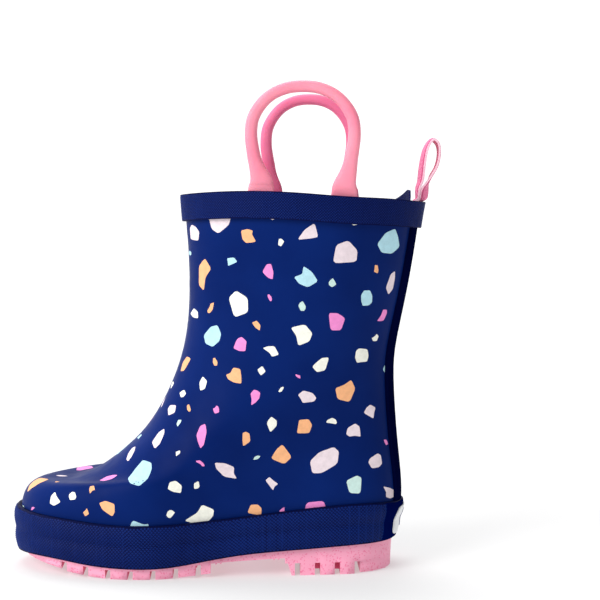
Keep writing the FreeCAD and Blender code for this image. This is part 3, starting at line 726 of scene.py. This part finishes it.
def swept(path, widths, thicks, across, sides=28, squareness=2.3):
    """Rings of a rounded section along a path, as vertices and faces. across is the thickness direction."""
    vertices = []
    for k, spot in enumerate(path):
        along = (path[min(k + 1, len(path) - 1)] - path[max(k - 1, 0)]).normalized()
        sideways = along.cross(across).normalized()
        for s in range(sides):
            turn = 2 * math.pi * s / sides
            c, n = math.cos(turn), math.sin(turn)
            wide = math.copysign(abs(c) ** (2 / squareness), c) * widths[k]
            thick = math.copysign(abs(n) ** (2 / squareness), n) * thicks[k]
            vertices.append(spot + sideways * wide + across * thick)
    faces = []
    for k in range(len(path) - 1):
        for s in range(sides):
            a, b = k * sides + s, k * sides + (s + 1) % sides
            faces.append((a, b, b + sides, a + sides))
    last = (len(path) - 1) * sides
    faces.append(tuple(range(sides))[::-1])
    faces.append(tuple(range(last, last + sides)))
    return vertices, faces


def pocket_middle(tabs, x, z, side):
    """Middle of the narrow space between upper and lining that a handle's foot fills."""
    beside_boot = side * 200 * MM
    near = tabs.ray_cast(Vector((x, beside_boot, z)), Vector((0, -side, 0)))[0]
    if near is None:
        near = tabs.find_nearest(Vector((x, side * 30 * MM, z)))[0]
    return near.y - side * FOOT_DEPTH * MM


def make_handle(name, material):
    """One handle from foot to foot, shaped round its joint's hinge. Its feet fall as the joint's axis does.
    """
    side, spread = HANDLES[name]
    joint = JOINTS[f"handle_{name}_bend"]
    hinge_x, _, hinge_z = joint["pos_m"]
    fall = math.atan2(-joint["axis"][2], joint["axis"][0])
    tabs = surface_of(f"handle_{name}_tabs")
    low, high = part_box(f"handle_{name}_loop")
    arch_y = (low.y + high.y) / 2
    mirrored = [(-x, z, w, t) for x, z, w, t in HANDLE_HALF[::-1]]
    rows = smooth_rows([*HANDLE_HALF, HANDLE_TOP, *mirrored])
    path = []
    for x, z, _, _ in rows:
        risen = min(1.0, max(0.0, z / UPRIGHT_FROM))
        turn = fall * (1 - risen)
        along = -x * (1 + (spread - 1) * risen)
        place_x = hinge_x + (along + max(0.0, z) * math.sin(turn)) * MM
        place_z = hinge_z + (z - along * math.sin(turn)) * MM
        y = arch_y
        if z < 0:
            share = min(1.0, -z / IN_POCKET_FROM)
            sunk_z = min(place_z, hinge_z - POCKET_DEPTH * MM)
            y += (pocket_middle(tabs, place_x, sunk_z, side) - arch_y) * share
        path.append(Vector((place_x, y, place_z)))
    widths = [r[2] * MM for r in rows]
    thicks = [r[3] * MM for r in rows]
    vertices, faces = swept(path, widths, thicks, Vector((0, 1, 0)))
    handle = new_piece(f"handle_{name}_moulded", vertices, faces, material)
    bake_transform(handle)
    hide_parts(f"handle_{name}_loop", f"handle_{name}_tabs")


# The ribbon's middle line from the hinge: up the front leg, over the fold and down the back leg.
# The third number is how many degrees the ribbon turns to show its front face to the outer side.
RIBBON_LINE = [
    (-0.75, -9.0, 0), (-0.72, -5.8, 0), (-0.55, -4.2, 0), (0.3, -3.0, 0), (1.5, -2.0, 3), (1.6, 0.4, 6),
    (1.9, 3.0, 8), (2.9, 6.0, 10), (3.6, 12.0, 10), (4.4, 17.0, 9), (5.6, 20.8, 8), (7.8, 23.6, 7),
    (10.1, 21.8, 5), (10.7, 17.8, 3), (9.7, 12.6, 2), (7.2, 8.0, 0), (5.7, 5.0, -8), (4.7, 2.4, -20),
    (4.3, 0.2, -23), (3.9, -1.6, -20), (2.4, -2.8, -8), (0.9, -3.9, 0), (0.62, -5.8, 0), (0.6, -9.0, 0),
]
RIBBON_WIDTH = 9.0
RIBBON_THICKNESS = 1.1
RIBBON_CUP = 0.35  # the ribbon's middle stands this far out of its edges' plane
RIBBON_EDGE = 0.72  # thickness share at its edges
RIBBON_TWIST = 0.05  # slope across the ribbon where it twists most
TWIST_RUN = 13.0  # length of ribbon per radian of the twist's wave
TWIST_FROM = 8.0  # the twist grows to its full size over this much height
RIBBON_STEPS = 12


def make_pull_loop(material):
    """The folded ribbon, from its buried front end to its buried back end."""
    hinge = Vector(JOINTS["pull_loop_bend"]["pos_m"])
    rows = smooth_rows(RIBBON_LINE, 6)
    line = [row[:2] for row in rows]
    steps = RIBBON_STEPS
    vertices, wraps = [], []
    run = 0.0
    for k, (x, z, degrees) in enumerate(rows):
        along = line[min(k + 1, len(line) - 1)] - line[max(k - 1, 0)]
        along /= np.linalg.norm(along)
        out = np.array([-along[1], along[0]])
        run += np.linalg.norm(line[k] - line[k - 1]) if k else 0.0
        # The cloth is a little cupped across its width, and its legs twist by a few degrees.
        twist = RIBBON_TWIST * math.sin(run / TWIST_RUN) * min(1.0, max(0.0, z / TWIST_FROM))
        turn = math.radians(degrees)
        for layer in (1, -1):
            for s in range(steps + 1):
                across = (s / steps - 0.5) * RIBBON_WIDTH
                cup = RIBBON_CUP * (1 - (2 * across / RIBBON_WIDTH) ** 2)
                edge = RIBBON_EDGE if s in (0, steps) else 1.0
                off = layer * RIBBON_THICKNESS / 2 * edge + cup + twist * across
                spot = np.array([x, z]) + out * off
                beside = spot[0] - across * math.sin(turn)
                vertices.append(hinge + point_mm(beside, across * math.cos(turn), spot[1]))
                wraps.append((run, across))
    ring = 2 * (steps + 1)
    top = list(range(steps + 1))
    under = list(range(2 * steps + 1, steps, -1))
    order = top + under
    faces = []
    for k in range(len(line) - 1):
        for a, b in zip(order, order[1:] + order[:1]):
            faces.append((k * ring + a, k * ring + b, (k + 1) * ring + b, (k + 1) * ring + a))
    last = (len(line) - 1) * ring
    faces.append(tuple(order[::-1]))
    faces.append(tuple(last + v for v in order))
    loop = new_piece("pull_loop_ribbon", vertices, faces, material)
    layer = loop.data.uv_layers.new(name="wrap")
    for face in loop.data.polygons:
        for corner, v in zip(face.loop_indices, face.vertices):
            layer.data[corner].uv = wraps[v]
    sharp_at(loop, 50)
    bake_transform(loop)
    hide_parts("pull_loop", "pull_loop_tail")


# ---- the sole --------------------------------------------------------------------------------
LUG_DEPTH = 3.6
BELOW_GROUND = -10.0  # rays up at the sole start at this height
GROOVE_SIDE = 0.75  # the painted groove shade given to a wall that faces another wall within GROOVE_WIDTH
GROOVE_WIDTH = 11.0
WALK_REACH = 6.5  # the walking surface near a place is looked for this far round it


def make_sole(material):
    """The moulded sole, with painted shade kept on each face for the colour: how deep it lies in a groove, or
    whether it is a wall facing another wall.
    """
    mesh = welded_copy("outsole")
    bmesh.ops.dissolve_limit(mesh, angle_limit=math.radians(0.6), verts=mesh.verts, edges=mesh.edges)
    bmesh.ops.triangulate(mesh, faces=[f for f in mesh.faces if len(f.verts) > 4])
    sole = piece_from(mesh, "tread_moulded", material, "boot")
    surface = surface_of("outsole")
    groove_shade = sole.data.attributes.new("groove_shade", "FLOAT", "FACE")
    # Painted shade: downward faces darken with their height above the walking surface, and walls that face
    # another wall get GROOVE_SIDE.
    for face in sole.data.polygons:
        downward = face.normal.z < -0.5
        if downward:
            above = face.center.z - ground_height(surface, face.center)
            groove_shade.data[face.index].value = min(1.0, max(0.0, above / (0.6 * LUG_DEPTH * MM)))
        else:
            start = face.center + face.normal * (0.05 * MM)
            facing = surface.ray_cast(start, face.normal, GROOVE_WIDTH * MM)[0]
            groove_shade.data[face.index].value = 0.0 if facing is None else GROOVE_SIDE
    sharp_at(sole, 32)
    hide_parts("outsole")
    return surface


def ground_height(surface, spot):
    """How high the walking surface is near a place: the lowest of the sole round it."""
    lowest = spot.z
    for k in range(8):
        way = Vector((math.cos(k * math.pi / 4), math.sin(k * math.pi / 4), 0)) * (WALK_REACH * MM)
        hit = surface.ray_cast(Vector((spot.x + way.x, spot.y + way.y, BELOW_GROUND * MM)), UP)[0]
        if hit is not None:
            lowest = min(lowest, hit.z)
    return lowest


WAFFLE_PITCH = 2.9
WAFFLE_SIZE = 2.1
WAFFLE_HEIGHT = 0.45
# A square's section from its foot in the sole down to its face: (height, share of its size)
WAFFLE_SECTION = ((0.15, 1.0), (-0.7 * WAFFLE_HEIGHT, 0.96), (-WAFFLE_HEIGHT, 0.84))
WAFFLE_SLOPE = 1.2  # no square where its corners would differ by more than this in height
# Per waffle-textured pad: where its rows start and end, and how far they slant
WAFFLE_PADS = {
    "waffle_toe": (-88.0, -73.5, 0.105),
    "waffle_heel": (60.5, 76.0, 0.07),
}


def make_waffle(surface, name, material):
    """Rows of small raised squares over one pad of the tread."""
    x_low, x_high, slant = WAFFLE_PADS[name]
    low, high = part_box("outsole")
    rows = int((x_high - x_low) / WAFFLE_PITCH) + 1
    columns = int((high.y - low.y) / MM / WAFFLE_PITCH) + 1
    vertices, faces = [], []
    half = WAFFLE_SIZE / 2
    for row in range(rows):
        for column in range(-columns // 2, columns // 2 + 1):
            y = (column + 0.5 * (row % 2)) * WAFFLE_PITCH
            x = x_low + row * WAFFLE_PITCH - slant * y
            corners = []
            for dx, dy in ((-half, -half), (half, -half), (half, half), (-half, half)):
                hit, normal, _, _ = surface.ray_cast(point_mm(x + dx, y + dy, BELOW_GROUND), UP)
                flat = hit is not None and normal.z < -0.85
                corners.append(hit if flat else None)
            if None in corners:
                continue
            if max(c.z for c in corners) - min(c.z for c in corners) > WAFFLE_SLOPE * MM:
                continue
            first = len(vertices)
            middle = sum(corners, Vector()) / 4
            for height, share in WAFFLE_SECTION:
                for corner in corners:
                    vertices.append(middle + (corner - middle) * share + UP * (height * MM))
            for ring in (0, 4):
                for k in range(4):
                    a, b = first + ring + k, first + ring + (k + 1) % 4
                    faces.append((a + 4, b + 4, b, a))
            faces.append([first + 8 + k for k in (3, 2, 1, 0)])
    waffle = new_piece(name, vertices, faces, material, "boot")
    # The raised squares get no painted groove shade.
    groove_shade = waffle.data.attributes.new("groove_shade", "FLOAT", "FACE")
    groove_shade.data.foreach_set("value", [0.0] * len(faces))
    sharp_at(waffle, 30)


def make_tread():
    pink = sole_rubber()
    surface = make_sole(pink)
    for name in WAFFLE_PADS:
        make_waffle(surface, name, pink)


# ---- heel badge ------------------------------------------------------------------------------
DROP_TALL, DROP_WIDE = 8.0, 5.4
DROP_PROUD, DROP_THICK = 0.25, 0.45  # how far it stands out of the badge, and its whole thickness


def make_badge_drop(material):
    """A plain raindrop in low relief on the badge's outer face."""
    low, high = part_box("heel_badge")
    badge = surface_of("heel_badge")
    middle = (low + high) / 2
    outline = []
    for k in range(36):
        turn = 2 * math.pi * k / 36
        x = DROP_WIDE / 2 * math.sin(turn) * math.sin(turn / 2) ** 1.2
        outline.append((x, DROP_TALL / 2 * math.cos(turn)))
    flat, triangles = filled(outline, 0.7)
    top = []
    for spot in flat:
        start = Vector((high.x + 20 * MM, middle.y + spot.x * MM, middle.z + spot.y * MM))
        hit = badge.ray_cast(start, Vector((-1, 0, 0)))[0]
        top.append((hit or start) + Vector((DROP_PROUD * MM, 0, 0)))
    count = len(top)
    sunk = [v - Vector((DROP_THICK * MM, 0, 0)) for v in top]
    faces = [tuple(t) for t in triangles]
    faces += [tuple(count + v for v in t[::-1]) for t in triangles]
    # An edge of only one triangle is on the outline, where the drop's side wall goes.
    uses = {}
    for a, b, c in triangles:
        for edge in ((a, b), (b, c), (c, a)):
            key = tuple(sorted(edge))
            uses[key] = None if key in uses else edge
    faces += [(b, a, a + count, b + count) for a, b in filter(None, uses.values())]
    drop = new_piece("badge_drop", top + sunk, faces, material, "boot")
    sharp_at(drop, 40)


def make_footbed():
    """A foam insole with rounded edges, and its knitted cover."""
    sponge = pressed("eva_foam", (224, 122, 160), (240, 146, 182), 1500.0)
    padding = piece_from(welded_copy("footbed_foam"), "footbed_padding", sponge, "footbed")
    remesh = padding.modifiers.new("even", "REMESH")
    remesh.mode = "VOXEL"
    remesh.voxel_size = 0.9 * MM
    soften = padding.modifiers.new("soften", "SMOOTH")
    soften.factor = 0.5
    soften.iterations = 6
    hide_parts("footbed_foam")
    cloth = knit("footbed_knit", (14, 24, 78), (36, 52, 118), 1.1)
    cover = piece_from(welded_copy("footbed_cover"), "footbed_cloth", cloth, "footbed")
    wrap_flat(cover)
    sharp_at(cover, 60)
    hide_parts("footbed_cover")


def wrap_flat(piece):
    """Wrap coordinates of a level sheet: millimetres along X and Y."""
    layer = piece.data.uv_layers.new(name="wrap")
    for face in piece.data.polygons:
        for corner, v in zip(face.loop_indices, face.vertices):
            spot = piece.data.vertices[v].co
            layer.data[corner].uv = (spot.x / MM, spot.y / MM)


# ---- camera, light and floor ----------------------------------------------------------------
CAMERA_AT = point_mm(64, -599, 141)
CAMERA_AIM = point_mm(33, 1, 116.25)
LENS = 82.0
FILM_WIDTH = 36.0
ROOM_DIM, ROOM_BRIGHT = 0.10, 1.2
BRIGHT_WAY = (-0.9, 0.7, 0.15)  # the room grows brighter this way
HORIZON = 1.0  # the room stays white near the horizon all round
FLOOR_HALF = 6.0  # metres
FLOOR_GLOW = 0.42


def make_camera():
    data = bpy.data.cameras.new("camera")
    data.lens = LENS
    data.sensor_width = FILM_WIDTH
    camera = add_to_scene("camera", data)
    camera.location = CAMERA_AT
    camera.rotation_euler = (CAMERA_AIM - CAMERA_AT).to_track_quat("-Z", "Y").to_euler()
    bpy.context.scene.camera = camera


def sun_light(name, coming_from, strength, softness_degrees):
    data = bpy.data.lights.new(name, "SUN")
    data.energy = strength
    data.angle = math.radians(softness_degrees)
    light = add_to_scene(name, data)
    light.rotation_euler = Vector(coming_from).to_track_quat("Z", "Y").to_euler()


def make_floor():
    """A large sheet of white paper, which glows a little so that the shadow on it stays pale."""
    look = Look("floor_white", roughness=0.9, Specular_IOR_Level=0.0, Emission_Strength=FLOOR_GLOW)
    paper = look.blend(look.noise(9.0), linear((180, 180, 180)), linear((184, 184, 184)))
    look.shader.inputs["Emission Color"].default_value = (1, 1, 1, 1)
    corners = [(x * FLOOR_HALF, y * FLOOR_HALF, 0) for x, y in ((-1, -1), (1, -1), (1, 1), (-1, 1))]
    data = bpy.data.meshes.new("floor")
    data.from_pydata(corners, [], [(0, 1, 2, 3)])
    data.materials.append(look.use(paper))
    add_to_scene("floor", data)


def make_room():
    """A white room: bright behind the boot, dimmer on the near side and darkest to the right."""
    world = bpy.data.worlds.new("studio")
    world.use_nodes = True
    nodes, links = world.node_tree.nodes, world.node_tree.links
    direction = nodes.new("ShaderNodeTexCoord").outputs["Generated"]

    def ramp(value, low, high, to_low, to_high):
        made = nodes.new("ShaderNodeMapRange")
        for name, number in (("From Min", low), ("From Max", high), ("To Min", to_low), ("To Max", to_high)):
            made.inputs[name].default_value = number
        links.new(value, made.inputs["Value"])
        return made.outputs["Result"]

    weigh = nodes.new("ShaderNodeVectorMath")
    weigh.operation = "DOT_PRODUCT"
    weigh.inputs[1].default_value = BRIGHT_WAY
    links.new(direction, weigh.inputs[0])
    dome = ramp(weigh.outputs["Value"], -0.8, 0.55, ROOM_DIM, ROOM_BRIGHT)
    split = nodes.new("ShaderNodeSeparateXYZ")
    links.new(direction, split.inputs[0])
    height = nodes.new("ShaderNodeMath")
    height.operation = "ABSOLUTE"
    links.new(split.outputs["Z"], height.inputs[0])
    horizon = ramp(height.outputs[0], 0.12, 0.2, HORIZON, 0.0)
    brighter = nodes.new("ShaderNodeMath")
    brighter.operation = "MAXIMUM"
    links.new(dome, brighter.inputs[0])
    links.new(horizon, brighter.inputs[1])
    background = nodes["Background"]
    background.inputs["Color"].default_value = (1, 1, 1, 1)
    links.new(brighter.outputs[0], background.inputs["Strength"])
    bpy.context.scene.world = world


def make_studio():
    make_floor()
    make_room()
    sun_light("key", (-0.7, -0.65, 0.6), 2.05, 35)
    sun_light("top", (-0.2, 0.4, 0.9), 1.4, 40)
    bpy.context.scene.view_settings.view_transform = "Standard"


make_camera()
make_studio()
make_layers()
make_print()
make_handle("outer", handle_rubber("handle_pink", (244, 134, 160), (250, 152, 172)))
# Painted shade: the inner handle, on the boot's far side, is the same pink rubber drawn darker, as it lies in
# shade.
make_handle("inner", handle_rubber("handle_pink_shaded", (232, 104, 146), (242, 124, 162)))
make_pull_loop(woven_ribbon())
make_tread()
make_badge_drop(rubber("drop_navy", (14, 30, 96), (20, 40, 112), 0.45))
make_footbed()
